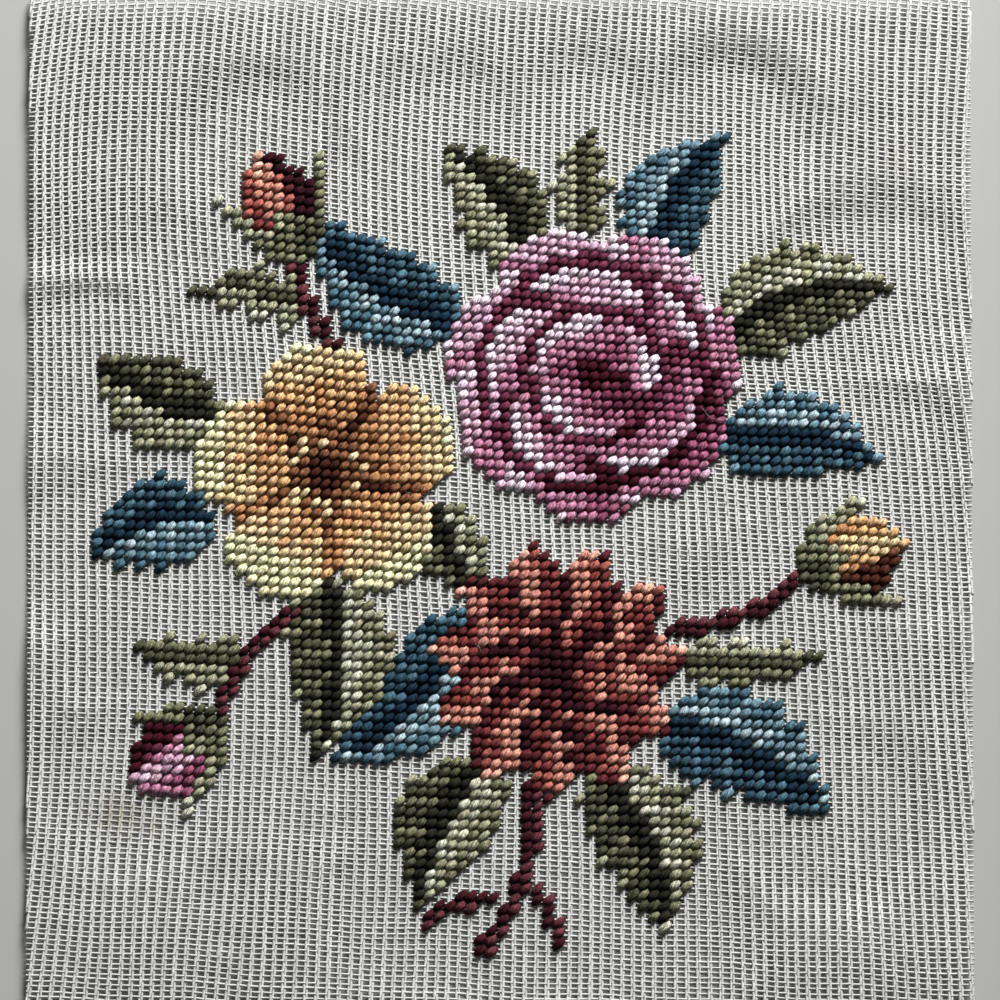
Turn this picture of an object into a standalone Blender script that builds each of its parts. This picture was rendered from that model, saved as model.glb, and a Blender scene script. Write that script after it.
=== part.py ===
"""Needlepoint canvas panel: a cut length of double-thread canvas with a floral spray worked in wool.

The panel lies flat. X runs across its width, Y up its height and Z away from the surface it lies on.
The canvas is one thin sheet with a soft fold line and a few low swells in its bare margins. Each worked
motif is a thin pad of wool on the sheet, cut back where the motif above it overlaps.
"""

import math

import bmesh
import bpy
from mathutils import Vector

MM = 0.001
WELD_DISTANCE = 0.00001

# Panel, in millimetres
PANEL_WIDTH = 232.0
PANEL_HEIGHT = 252.0
SHEET_THICKNESS = 1.5
GRID_COLUMNS = 30
GRID_ROWS = 38

# Worked wool, in millimetres
WOOL_GAP = 0.3
WOOL_THICKNESS = 1.0
WOOL_EDGE = 0.3
MOTIF_GAP = 0.3
CUTTER_HEIGHT = 6.0

# Fold line across the bare canvas, in millimetres
FOLD_LEFT_Y = 59.0
FOLD_RIGHT_Y = 43.0
FOLD_DEPTH = 1.4
FOLD_REACH_BELOW = 7.0
FOLD_REACH_ABOVE = 15.0

# Bare canvas stands this much higher than the worked part, and eases into it over this distance
BARE_LIFT = 0.7
EASE_START = 3.0
EASE_REACH = 13.0

# Low swells of the bare margins: centre x, centre y, reach x, reach y, lift, all in millimetres
SWELLS = (
    (-104.0, 60.0, 28.0, 26.0, 0.9),
    (84.0, 50.0, 40.0, 26.0, 0.9),
    (-82.0, 112.0, 34.0, 24.0, 1.2),
    (-6.0, 122.0, 30.0, 18.0, 0.5),
    (72.0, 108.0, 36.0, 26.0, 1.5),
    (112.0, 4.0, 16.0, 34.0, 0.9),
    (-114.0, -34.0, 14.0, 30.0, 0.8),
    (96.0, -112.0, 30.0, 24.0, 1.4),
    (-88.0, -112.0, 32.0, 22.0, 1.0),
)

# Motifs, in millimetres and degrees. A bloom is placed by its centre and its size is its radius.
# A bud, calyx, leaf or sprig is placed by its base and its size is its length along its heading.
# Columns: name, kind, x, y, size, heading, breadth, bend, wool, layer
MOTIFS = (
    ("mauve_bloom", "camellia", 23.0, 31.0, 37.0, 10.0, 37.0, 0.0, "mauve", 9),
    ("gold_bloom", "blossom", -43.0, 6.0, 33.0, 96.0, 33.0, 0.0, "gold", 8),
    ("rust_bloom", "dahlia", 14.0, -42.0, 32.0, 5.0, 32.0, 0.0, "rust", 8),
    ("mauve_bud", "bud", -70.0, -56.0, 25.0, 214.0, 10.5, 0.0, "mauve", 6),
    ("rust_bud", "bud", -50.0, 62.0, 26.0, 112.0, 10.5, 0.0, "rust", 6),
    ("gold_bud", "bud", 76.0, -16.0, 25.0, 14.0, 10.5, 0.0, "gold", 6),
    ("mauve_calyx", "calyx", -70.0, -56.0, 25.0, 214.0, 10.0, 0.0, "olive", 7),
    ("rust_calyx", "calyx", -50.0, 62.0, 26.0, 112.0, 10.0, 0.0, "olive", 7),
    ("gold_calyx", "calyx", 76.0, -16.0, 25.0, 14.0, 10.0, 0.0, "olive", 7),
    ("leaf_01", "leaf", -10.0, 42.0, 46.0, 143.0, 13.0, 0.10, "teal", 4),
    ("leaf_02", "leaf", 6.0, 58.0, 35.0, 124.0, 12.0, -0.10, "olive", 5),
    ("leaf_03", "leaf", 37.0, 58.0, 37.0, 60.0, 12.5, 0.12, "teal", 4),
    ("leaf_04", "leaf", 53.0, 40.0, 45.0, 16.0, 13.5, 0.12, "olive", 5),
    ("leaf_05", "leaf", 53.0, 15.0, 41.0, -8.0, 12.0, 0.10, "teal", 3),
    ("leaf_06", "leaf", -69.0, 20.0, 34.0, 154.0, 12.5, 0.10, "olive", 4),
    ("leaf_07", "leaf", -70.0, -4.0, 33.0, 198.0, 12.0, -0.10, "teal", 5),
    ("leaf_08", "leaf", -42.0, -19.0, 44.0, 266.0, 14.0, 0.10, "olive", 5),
    ("leaf_09", "leaf", -6.0, -28.0, 50.0, 226.0, 13.5, 0.10, "teal", 4),
    ("leaf_10", "leaf", -2.0, -64.0, 40.0, 244.0, 13.5, -0.10, "olive", 4),
    ("leaf_11", "leaf", 24.0, -66.0, 43.0, 292.0, 14.0, 0.12, "olive", 5),
    ("leaf_12", "leaf", 38.0, -54.0, 49.0, -28.0, 14.0, 0.10, "teal", 4),
    ("leaf_13", "leaf", -16.0, -2.0, 24.0, 292.0, 9.5, 0.0, "olive", 2),
    ("sprig_01", "sprig", -46.0, 46.0, 31.0, 170.0, 8.5, -0.10, "olive", 3),
    ("sprig_02", "sprig", 21.0, 64.0, 29.0, 88.0, 8.5, 0.06, "olive", 3),
    ("sprig_03", "sprig", -60.0, -38.0, 30.0, 176.0, 8.5, 0.10, "olive", 3),
    ("sprig_04", "sprig", 42.0, -38.0, 38.0, -1.0, 8.0, -0.06, "olive", 3),
    ("stem_main", "stem", 8.0, -70.0, 45.0, 252.0, 2.2, 0.10, "burgundy", 6),
    ("stem_mauve", "stem", -44.0, -22.0, 43.0, 232.0, 2.0, -0.10, "burgundy", 4),
    ("stem_rust", "stem", -38.0, 34.0, 31.0, 113.0, 2.0, 0.10, "burgundy", 4),
    ("stem_gold", "stem", 40.0, -32.0, 41.0, 23.0, 2.0, -0.10, "burgundy", 4),
    ("twig_01", "stem", 5.0, -93.0, 20.0, 300.0, 1.9, 0.10, "burgundy", 3),
    ("twig_02", "stem", 0.0, -98.0, 19.0, 196.0, 1.9, -0.10, "burgundy", 3),
)

# Lobes of each scalloped kind: lobes, depth of the notches, roundness of the lobes
LOBES = {
    "camellia": (7, 0.13, 0.55),
    "blossom": (5, 0.28, 0.50),
    "dahlia": (11, 0.22, 1.60),
}
LOBE_STEPS = 6

# Teeth of each leafy kind: teeth a side, depth of the notch that starts each tooth
TEETH = {
    "leaf": (6, 0.16),
    "sprig": (4, 0.52),
}
NOTCH_SHARE = 0.25
TOOTH_TIP_SHARE = 0.95

# A leaf is sin(pi * share ** skew) ** fullness wide, and so is a bud
LEAF_SKEW = 0.72
LEAF_FULLNESS = 0.80
BUD_SKEW = 0.85
BUD_FULLNESS = 0.75

# Half of a calyx, as shares of its length along and of its breadth across, from base to middle sepal
CALYX_HALF = (
    (-0.12, 0.00),
    (-0.10, 0.30),
    (0.02, 0.72),
    (0.24, 1.04),
    (0.50, 1.24),
    (0.80, 1.46),
    (0.58, 1.00),
    (0.36, 0.80),
    (0.20, 0.50),
    (0.28, 0.24),
    (0.46, 0.00),
)
BUD_STEPS = 9
STEM_STEPS = 7

# Colours as linear red, green and blue
CANVAS_COLOUR = (0.62, 0.60, 0.54)
WOOL_COLOURS = {
    "mauve": (0.33, 0.14, 0.21),
    "gold": (0.48, 0.24, 0.08),
    "rust": (0.22, 0.06, 0.03),
    "olive": (0.12, 0.13, 0.05),
    "teal": (0.05, 0.11, 0.14),
    "burgundy": (0.07, 0.01, 0.02),
}
CANVAS_ROUGHNESS = 0.85
WOOL_ROUGHNESS = 0.95


def clear_scene():
    """Remove every object that the file opened with."""
    for obj in list(bpy.data.objects):
        bpy.data.objects.remove(obj, do_unlink=True)


def new_collection(name):
    """A collection of this name under the scene's own."""
    collection = bpy.data.collections.new(name)
    bpy.context.scene.collection.children.link(collection)
    return collection


def plain_material(name, colour, roughness):
    """A Principled material with one colour and roughness, not metallic."""
    material = bpy.data.materials.new(name)
    material.use_nodes = True
    shader = material.node_tree.nodes["Principled BSDF"]
    shader.inputs["Base Color"].default_value = (*colour, 1.0)
    shader.inputs["Roughness"].default_value = roughness
    shader.inputs["Metallic"].default_value = 0.0
    material.diffuse_color = (*colour, 1.0)
    return material


def place(points, x, y, heading):
    """Turn local points by the heading in degrees and shift them to x, y."""
    cos_h = math.cos(math.radians(heading))
    sin_h = math.sin(math.radians(heading))
    return [(x + p * cos_h - q * sin_h, y + p * sin_h + q * cos_h) for p, q in points]


def bloom_outline(kind, radius):
    """A circle with lobes: the radius drops by the notch depth between two neighbouring lobes."""
    lobes, depth, roundness = LOBES[kind]
    points = []
    for step in range(lobes * LOBE_STEPS):
        angle = 2.0 * math.pi * step / (lobes * LOBE_STEPS)
        swell = abs(math.cos(0.5 * lobes * angle)) ** roundness
        reach = radius * (1.0 - depth * (1.0 - swell))
        points.append((reach * math.cos(angle), reach * math.sin(angle)))
    return points


def bow_at(share, length, bend):
    """Sideways bow of a bent axis at a share of its length: a parabola, highest in the middle."""
    return bend * length * 4.0 * share * (1.0 - share)


def leaf_outline(kind, length, breadth, bend):
    """A bent lens whose margins are cut into teeth that point to the tip."""
    teeth, depth = TEETH[kind]
    upper = []
    lower = []
    for tooth in range(teeth):
        for part, cut in ((NOTCH_SHARE, depth), (TOOTH_TIP_SHARE, 0.0)):
            share = (tooth + part) / teeth
            swell = math.sin(math.pi * share ** LEAF_SKEW) ** LEAF_FULLNESS
            half = breadth * swell * (1.0 - cut)
            bow = bow_at(share, length, bend)
            upper.append((share * length, bow + half))
            lower.append((share * length, bow - half))
    return [(0.0, 0.0)] + lower + [(length, 0.0)] + upper[::-1]


def bud_outline(length, breadth):
    """A plump drop, round at its base and blunt at its tip."""
    upper = []
    lower = []
    for step in range(1, BUD_STEPS):
        share = step / BUD_STEPS
        half = breadth * math.sin(math.pi * share ** BUD_SKEW) ** BUD_FULLNESS
        upper.append((share * length, half))
        lower.append((share * length, -half))
    return [(0.0, 0.0)] + lower + [(length, 0.0)] + upper[::-1]


def calyx_outline(length, breadth):
    """A cup with two side sepals and a short middle one, mirrored about its axis."""
    half = [(along * length, across * breadth) for along, across in CALYX_HALF]
    mirrored = [(along, -across) for along, across in half[1:-1]]
    return [half[0]] + mirrored + [half[-1]] + half[1:-1][::-1]


def stem_outline(length, half_width, bend):
    """A bent strip of even width."""
    upper = []
    lower = []
    for step in range(STEM_STEPS + 1):
        share = step / STEM_STEPS
        bow = bow_at(share, length, bend)
        upper.append((share * length, bow + half_width))
        lower.append((share * length, bow - half_width))
    return lower + upper[::-1]


def motif_outline(motif):
    """The motif's closed outline on the panel, in millimetres, counterclockwise."""
    _, kind, x, y, size, heading, breadth, bend, _, _ = motif
    if kind in LOBES:
        points = bloom_outline(kind, size)
    elif kind in TEETH:
        points = leaf_outline(kind, size, breadth, bend)
    elif kind == "bud":
        points = bud_outline(size, breadth)
    elif kind == "calyx":
        points = calyx_outline(size, breadth)
    else:
        points = stem_outline(size, breadth, bend)
    return place(points, x, y, heading)


def motif_core(motif):
    """The motif as a thick line: its two ends and its half width, in millimetres."""
    _, kind, x, y, size, heading, breadth, _, _, _ = motif
    if kind in LOBES:
        return (x, y), (x, y), size
    tip = place([(size, 0.0)], x, y, heading)[0]
    return (x, y), tip, breadth


def distance_to_wool(x, y):
    """Distance from a place on the panel to the nearest worked motif, in millimetres."""
    nearest = math.inf
    for motif in MOTIFS:
        (ax, ay), (bx, by), half = motif_core(motif)
        run_x = bx - ax
        run_y = by - ay
        span = run_x * run_x + run_y * run_y
        share = 0.0
        if span > 0.0:
            share = min(1.0, max(0.0, ((x - ax) * run_x + (y - ay) * run_y) / span))
        gap = math.hypot(x - ax - share * run_x, y - ay - share * run_y) - half
        nearest = min(nearest, gap)
    return nearest


def canvas_lift(x, y):
    """Height of the canvas over its worked part: a lifted margin, a fold trough and low swells."""
    ease = min(1.0, max(0.0, (distance_to_wool(x, y) - EASE_START) / EASE_REACH))
    ease = ease * ease * (3.0 - 2.0 * ease)
    share = x / PANEL_WIDTH + 0.5
    off_fold = y - (FOLD_LEFT_Y + (FOLD_RIGHT_Y - FOLD_LEFT_Y) * share)
    reach = FOLD_REACH_ABOVE if off_fold > 0.0 else FOLD_REACH_BELOW
    lift = BARE_LIFT - FOLD_DEPTH * math.exp(-((off_fold / reach) ** 2))
    for centre_x, centre_y, reach_x, reach_y, height in SWELLS:
        off = ((x - centre_x) / reach_x) ** 2 + ((y - centre_y) / reach_y) ** 2
        lift += height * math.exp(-off)
    return ease * max(0.0, lift)


def make_canvas(collection, material):
    """The sheet: a grid lifted by the fold and swells, given its thickness downwards."""
    mesh = bpy.data.meshes.new("canvas")
    grid = bmesh.new()
    bmesh.ops.create_grid(grid, x_segments=GRID_COLUMNS, y_segments=GRID_ROWS, size=0.5)
    for vert in grid.verts:
        x = vert.co.x * PANEL_WIDTH
        y = vert.co.y * PANEL_HEIGHT
        z = SHEET_THICKNESS + canvas_lift(x, y)
        vert.co = Vector((x, y, z)) * MM
    grid.normal_update()
    grid.to_mesh(mesh)
    grid.free()
    mesh.shade_smooth()
    mesh.materials.append(material)
    canvas = bpy.data.objects.new("canvas", mesh)
    collection.objects.link(canvas)
    shell = canvas.modifiers.new("thickness", "SOLIDIFY")
    shell.thickness = SHEET_THICKNESS * MM
    shell.offset = -1.0
    return canvas


def outline_curve(name, points, half_height, bevel, offset):
    """A filled flat curve through the points, extruded both ways and eased at its edges."""
    curve = bpy.data.curves.new(name, "CURVE")
    curve.dimensions = "2D"
    curve.fill_mode = "BOTH"
    curve.extrude = (half_height - bevel) * MM
    curve.bevel_depth = bevel * MM
    curve.bevel_resolution = 0
    curve.offset = offset * MM
    spline = curve.splines.new("POLY")
    spline.points.add(len(points) - 1)
    for point, (x, y) in zip(spline.points, points):
        point.co = (x * MM, y * MM, 0.0, 1.0)
    spline.use_cyclic_u = True
    return curve


def solid_from_curve(name, curve, height, collection):
    """The curve's solid as a mesh object whose origin is at this height over the panel's foot."""
    guide = bpy.data.objects.new(name + "_curve", curve)
    collection.objects.link(guide)
    bpy.context.view_layer.update()
    depsgraph = bpy.context.evaluated_depsgraph_get()
    mesh = bpy.data.meshes.new_from_object(guide.evaluated_get(depsgraph))
    bpy.data.objects.remove(guide, do_unlink=True)
    welded = bmesh.new()
    welded.from_mesh(mesh)
    bmesh.ops.remove_doubles(welded, verts=welded.verts, dist=WELD_DISTANCE)
    bmesh.ops.recalc_face_normals(welded, faces=welded.faces)
    welded.to_mesh(mesh)
    welded.free()
    mesh.name = name
    solid = bpy.data.objects.new(name, mesh)
    solid.location = (0.0, 0.0, height * MM)
    collection.objects.link(solid)
    return solid


def make_pad(motif, collection, materials):
    """The worked wool of one motif, a thin pad just over the canvas."""
    half = 0.5 * WOOL_THICKNESS
    curve = outline_curve(motif[0], motif_outline(motif), half, WOOL_EDGE, -WOOL_EDGE)
    pad = solid_from_curve(motif[0], curve, SHEET_THICKNESS + WOOL_GAP + half, collection)
    pad.data.materials.clear()
    pad.data.materials.append(materials[motif[8]])
    return pad


def make_cutter(motif, collection):
    """The motif's outline, grown by the gap between motifs, as a tall cutter."""
    name = motif[0] + "_cutter"
    curve = outline_curve(name, motif_outline(motif), 0.5 * CUTTER_HEIGHT, 0.0, MOTIF_GAP)
    cutter = solid_from_curve(name, curve, SHEET_THICKNESS + WOOL_GAP, collection)
    cutter.display_type = "WIRE"
    cutter.hide_render = True
    return cutter


def reach_box(motif, margin):
    """Lowest and highest corner of the motif's outline, grown by a margin."""
    points = motif_outline(motif)
    xs = [x for x, _ in points]
    ys = [y for _, y in points]
    return min(xs) - margin, min(ys) - margin, max(xs) + margin, max(ys) + margin


def boxes_meet(one, other):
    """Whether two boxes in the plane overlap."""
    apart_x = one[2] < other[0] or other[2] < one[0]
    apart_y = one[3] < other[1] or other[3] < one[1]
    return not (apart_x or apart_y)


def cut_back(pads, cutters):
    """Cut each pad by every motif above it. Of two in one layer, the one listed first is above."""
    for low_rank, low in enumerate(MOTIFS):
        for high_rank, high in enumerate(MOTIFS):
            above = high[9] > low[9] or (high[9] == low[9] and high_rank < low_rank)
            if not above:
                continue
            if not boxes_meet(reach_box(low, MOTIF_GAP), reach_box(high, MOTIF_GAP)):
                continue
            cut = pads[low[0]].modifiers.new("under_" + high[0], "BOOLEAN")
            cut.operation = "DIFFERENCE"
            cut.solver = "EXACT"
            cut.object = cutters[high[0]]


def main():
    """Build the canvas and every worked motif."""
    clear_scene()
    panel = new_collection("needlepoint_canvas_panel")
    tools = new_collection("cutters")
    cotton = plain_material("canvas_cotton", CANVAS_COLOUR, CANVAS_ROUGHNESS)
    wools = {}
    for wool, colour in WOOL_COLOURS.items():
        wools[wool] = plain_material("wool_" + wool, colour, WOOL_ROUGHNESS)
    make_canvas(panel, cotton)
    pads = {}
    cutters = {}
    for motif in MOTIFS:
        pads[motif[0]] = make_pad(motif, panel, wools)
        cutters[motif[0]] = make_cutter(motif, tools)
    cut_back(pads, cutters)


main()
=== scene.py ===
"""Needlepoint canvas panel: woven canvas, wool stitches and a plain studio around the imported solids.

The canvas is woven thread by thread and the spray is worked stitch by stitch. Every surface is a strand: an
oval profile carried along a path, computed for all strands at once. Lengths in the tables and the settings
are millimetres unless a unit is given, and they become metres as the meshes are made.
"""

import math
from collections import namedtuple

import bpy
import numpy as np
from bpy.props import FloatProperty, FloatVectorProperty, IntProperty, PointerProperty
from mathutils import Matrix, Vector


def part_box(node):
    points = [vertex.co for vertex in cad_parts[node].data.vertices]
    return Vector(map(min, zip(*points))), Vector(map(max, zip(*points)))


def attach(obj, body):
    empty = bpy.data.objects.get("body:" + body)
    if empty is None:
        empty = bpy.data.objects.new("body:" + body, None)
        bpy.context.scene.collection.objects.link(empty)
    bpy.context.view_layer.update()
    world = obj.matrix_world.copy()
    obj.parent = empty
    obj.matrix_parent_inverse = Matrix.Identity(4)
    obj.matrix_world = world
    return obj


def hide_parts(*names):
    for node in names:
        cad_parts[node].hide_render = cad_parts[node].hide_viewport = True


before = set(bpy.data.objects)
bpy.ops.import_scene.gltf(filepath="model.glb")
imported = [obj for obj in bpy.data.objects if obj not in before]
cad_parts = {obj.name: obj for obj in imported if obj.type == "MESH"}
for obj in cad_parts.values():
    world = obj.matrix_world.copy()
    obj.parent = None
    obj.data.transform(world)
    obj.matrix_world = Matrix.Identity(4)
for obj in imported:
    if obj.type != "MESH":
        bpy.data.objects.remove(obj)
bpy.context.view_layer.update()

bl_info = {
    "name": "Needlepoint Canvas Panel",
    "version": (1, 0, 0),
    "blender": (4, 5, 0),
    "location": "View3D > Sidebar > Needlepoint",
    "description": "Weaves a needlepoint canvas and works a floral spray on it in wool",
    "category": "Add Mesh",
}

MM = 0.001
BODY = "root"
CANVAS_NODE = "canvas"

# The sheet as the frame has it, in millimetres
SHEET_LOW, SHEET_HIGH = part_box(CANVAS_NODE)
PANEL_WIDTH = round((SHEET_HIGH.x - SHEET_LOW.x) / MM)
PANEL_HEIGHT = round((SHEET_HIGH.y - SHEET_LOW.y) / MM)
SHEET_TOP = 1.5

# Fold line across the bare canvas, and the lift of the bare canvas over the worked part
FOLD_LEFT_Y = 59.0
FOLD_RIGHT_Y = 43.0
FOLD_DEPTH = 1.4
FOLD_REACH_BELOW = 7.0
FOLD_REACH_ABOVE = 15.0
CREST_HEIGHT = 0.8
CREST_BELOW = 3.4
CREST_REACH = 3.6
BARE_LIFT = 0.7
EASE_START = 3.0
EASE_REACH = 13.0

# Low swells of the bare margins: centre x, centre y, reach x, reach y, lift
SWELLS = (
    (-104, 60, 28, 26, 0.9),
    (84, 50, 40, 26, 0.9),
    (-82, 112, 34, 24, 1.2),
    (-6, 122, 30, 18, 0.5),
    (72, 108, 36, 26, 1.5),
    (112, 4, 16, 34, 0.9),
    (-114, -34, 14, 30, 0.8),
    (96, -112, 30, 24, 1.4),
    (-88, -112, 32, 22, 1),
)

# Motifs by kind. A bloom is placed by its centre and its size is its radius. The others are placed by their
# base and their size is their length along their heading, in degrees.
# Columns: name, x, y, size, heading, breadth, bend, wool, layer
PLACES = {
    "camellia": (
        ("mauve_bloom", 23, 31, 37, 10, 37, 0, "mauve", 9),
    ),
    "blossom": (
        ("gold_bloom", -43, 6, 33, 96, 33, 0, "gold", 8),
    ),
    "dahlia": (
        ("rust_bloom", 14, -42, 32, 5, 32, 0, "rust", 8),
    ),
    "bud": (
        ("mauve_bud", -70, -56, 25, 214, 10.5, 0, "mauve", 6),
        ("rust_bud", -50, 62, 26, 112, 10.5, 0, "rust", 6),
        ("gold_bud", 76, -16, 25, 14, 10.5, 0, "gold", 6),
    ),
    "calyx": (
        ("mauve_calyx", -70, -56, 25, 214, 10, 0, "olive", 7),
        ("rust_calyx", -50, 62, 26, 112, 10, 0, "olive", 7),
        ("gold_calyx", 76, -16, 25, 14, 10, 0, "olive", 7),
    ),
    "leaf": (
        ("leaf_01", -10, 42, 46, 143, 13, 0.10, "teal", 4),
        ("leaf_02", 6, 58, 35, 124, 12, -0.10, "olive", 5),
        ("leaf_03", 37, 58, 37, 60, 12.5, 0.12, "teal", 4),
        ("leaf_04", 53, 40, 45, 16, 13.5, 0.12, "olive", 5),
        ("leaf_05", 53, 15, 41, -8, 12, 0.10, "teal", 3),
        ("leaf_06", -69, 20, 34, 154, 12.5, 0.10, "olive", 4),
        ("leaf_07", -70, -4, 33, 198, 12, -0.10, "teal", 5),
        ("leaf_08", -42, -19, 44, 266, 14, 0.10, "olive", 5),
        ("leaf_09", -6, -28, 50, 226, 13.5, 0.10, "teal", 4),
        ("leaf_10", -2, -64, 40, 244, 13.5, -0.10, "olive", 4),
        ("leaf_11", 24, -66, 43, 292, 14, 0.12, "olive", 5),
        ("leaf_12", 38, -54, 49, -28, 14, 0.10, "teal", 4),
        ("leaf_13", -16, -2, 24, 292, 9.5, 0, "olive", 2),
    ),
    "sprig": (
        ("sprig_01", -46, 46, 31, 170, 8.5, -0.10, "olive", 3),
        ("sprig_02", 21, 64, 29, 88, 8.5, 0.06, "olive", 3),
        ("sprig_03", -60, -38, 30, 176, 8.5, 0.10, "olive", 3),
        ("sprig_04", 42, -38, 38, -1, 8, -0.06, "olive", 3),
    ),
    "stem": (
        ("stem_main", 8, -70, 45, 252, 2.2, 0.10, "burgundy", 6),
        ("stem_mauve", -44, -22, 43, 232, 2, -0.10, "burgundy", 4),
        ("stem_rust", -38, 34, 31, 113, 2, 0.10, "burgundy", 4),
        ("stem_gold", 40, -32, 41, 23, 2, -0.10, "burgundy", 4),
        ("twig_01", 5, -93, 20, 300, 1.9, 0.10, "burgundy", 3),
        ("twig_02", 0, -98, 19, 196, 1.9, -0.10, "burgundy", 3),
    ),
}
Motif = namedtuple("Motif", "name kind x y size heading breadth bend wool layer")
MOTIFS = tuple(Motif(row[0], kind, *row[1:]) for kind, rows in PLACES.items() for row in rows)

# Lobes of each scalloped kind: lobes, depth of the notches, roundness of the lobes
LOBES = {
    "camellia": (7, 0.13, 0.55),
    "blossom": (5, 0.28, 0.50),
    "dahlia": (11, 0.22, 1.60),
}
LOBE_STEPS = 6

# Teeth of each leafy kind: teeth a side, depth of the notch that starts each tooth
TEETH = {
    "leaf": (6, 0.16),
    "sprig": (4, 0.52),
}
NOTCH_SHARE = 0.25
TOOTH_TIP_SHARE = 0.95

# Where a leaf and a bud are widest, and how plump they are
LEAF_SKEW = 0.72
LEAF_FULLNESS = 0.80
BUD_SKEW = 0.85
BUD_FULLNESS = 0.75

# Half of a calyx, as shares of its length along and of its breadth across, from base to middle sepal
CALYX_HALF = (
    (-0.12, 0.00), (-0.10, 0.30), (0.02, 0.72), (0.24, 1.04), (0.50, 1.24), (0.80, 1.46),
    (0.58, 1.00), (0.36, 0.80), (0.20, 0.50), (0.28, 0.24), (0.46, 0.00),
)
BUD_STEPS = 9
STEM_STEPS = 7

# Rings of petals: reach of the petal's centre, its radius, petals, first turn
CAMELLIA_RINGS = (
    (0.62, 0.44, 7, 0.00),
    (0.38, 0.36, 5, 0.35),
    (0.17, 0.25, 3, 0.10),
)

# Rings of pointed petals: reach of the tips, petals, first turn, half width
DAHLIA_RINGS = (
    (1.02, 11, 0.00, 0.27),
    (0.73, 9, 0.45, 0.24),
    (0.45, 7, 0.20, 0.19),
)

# Lean of the warp threads, in degrees: at the left edge and the right edge of the panel
WARP_LEAN_TOP = (5.6, 1.9)
WARP_LEAN_MIDDLE = (0.0, -3.2)
WARP_LEAN_BOTTOM = (6.2, -3.4)
WARP_KNEE_TOP = 0.68
WARP_KNEE_BOTTOM = 0.52
WARP_KNEE_SOFTNESS = 0.07
WARP_SQUEEZE = 3.0

# Slope of the weft threads, in degrees, where they run level, and the bumps in the slope near the top
WEFT_SLOPE = -2.6
WEFT_SLOPE_TOP = -2.9
WEFT_BUMPS = (
    (11.5, -0.95, 0.22),
    (-5.2, -0.33, 0.22),
)
WEFT_TOP_FROM = 0.30
WEFT_TOP_SOFTNESS = 0.15
WEFT_CROWDING = 0.037

# Thick places in the yarn: x, y, reach, extra thickness as a share
SLUBS = (
    (-69, -111, 3, 0.75),
    (88, 92, 2.4, 0.45),
    (-104, 22, 2.6, 0.40),
    (60, -96, 2.2, 0.50),
    (-20, 108, 2.8, 0.35),
)

# Faint stains on the cotton: x, y, reach, strength
STAINS = (
    (-93, -77, 7, 0.55),
    (-86, -80, 4, 0.35),
    (98, 84, 6, 0.20),
)

# The colours of each wool, from which its other shades are mixed
TONES = ("palest", "middle", "darkest")
WOOLS = {
    "mauve": ((1.00, 0.90, 0.97), (0.70, 0.41, 0.53), (0.27, 0.05, 0.12)),
    "gold": ((1.00, 0.97, 0.78), (0.90, 0.66, 0.45), (0.30, 0.15, 0.10)),
    "rust": ((1.00, 0.75, 0.66), (0.60, 0.29, 0.26), (0.21, 0.05, 0.10)),
    "olive": ((1.00, 1.00, 0.94), (0.58, 0.58, 0.45), (0.16, 0.16, 0.12)),
    "teal": ((0.88, 0.94, 0.96), (0.36, 0.50, 0.56), (0.09, 0.19, 0.26)),
    "burgundy": ((0.48, 0.28, 0.30), (0.29, 0.10, 0.13), (0.15, 0.04, 0.07)),
}


def length_property(name, description, default):
    """A length in millimetres."""
    return FloatProperty(name=name, description=description, default=default, min=0.0, precision=3)


def colour_property(name, description, default):
    """A display colour as red, green and blue."""
    return FloatVectorProperty(
        name=name, description=description, default=default, size=3, min=0.0, max=1.0, subtype="COLOR_GAMMA"
    )


class CanvasSettings(bpy.types.PropertyGroup):
    """The canvas: its count, its threads and its colour."""

    pitch_across: length_property("Pitch across", "From one pair of warp threads to the next, mm", 2.54)
    pitch_up: length_property("Pitch up", "From one pair of weft threads to the next, mm", 2.42)
    warp_pairing: length_property("Warp pairing", "Between the two threads of a warp pair, mm", 0.54)
    weft_pairing: length_property("Weft pairing", "Between the two threads of a weft pair, mm", 1.13)
    warp_width: length_property("Warp width", "Width of a warp thread, mm", 0.68)
    weft_width: length_property("Weft width", "Width of a weft thread, mm", 0.54)
    warp_height: length_property("Warp height", "Height of a warp thread, pressed by the weave, mm", 0.66)
    weft_height: length_property("Weft height", "Height of a weft thread, pressed by the weave, mm", 0.42)
    cotton: colour_property("Cotton", "Colour of the sized cotton", (0.735, 0.735, 0.72))
    stain: colour_property("Stain", "Colour of the faint stains", (0.565, 0.51, 0.42))
    bands: IntProperty(name="Bands", description="Pieces that the canvas is made in", default=4, min=1)


class WoolSettings(bpy.types.PropertyGroup):
    """The stitches, and three colours of each wool."""

    width: length_property("Stitch width", "Width of a stitch at its middle, mm", 2.08)
    height: length_property("Stitch height", "Height of a stitch at its middle, mm", 0.80)
    back_width: length_property("Back width", "Width of a strand on the back, mm", 1.30)
    back_height: length_property("Back height", "Height of a strand on the back, mm", 0.52)


# One colour property for each wool and tone, such as gold_palest
WoolSettings.__annotations__.update(
    {
        f"{wool}_{tone}": colour_property(f"{wool.capitalize()}, {tone}", f"The {tone} {wool} wool", colour)
        for wool, colours in WOOLS.items()
        for tone, colour in zip(TONES, colours)
    }
)


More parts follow.
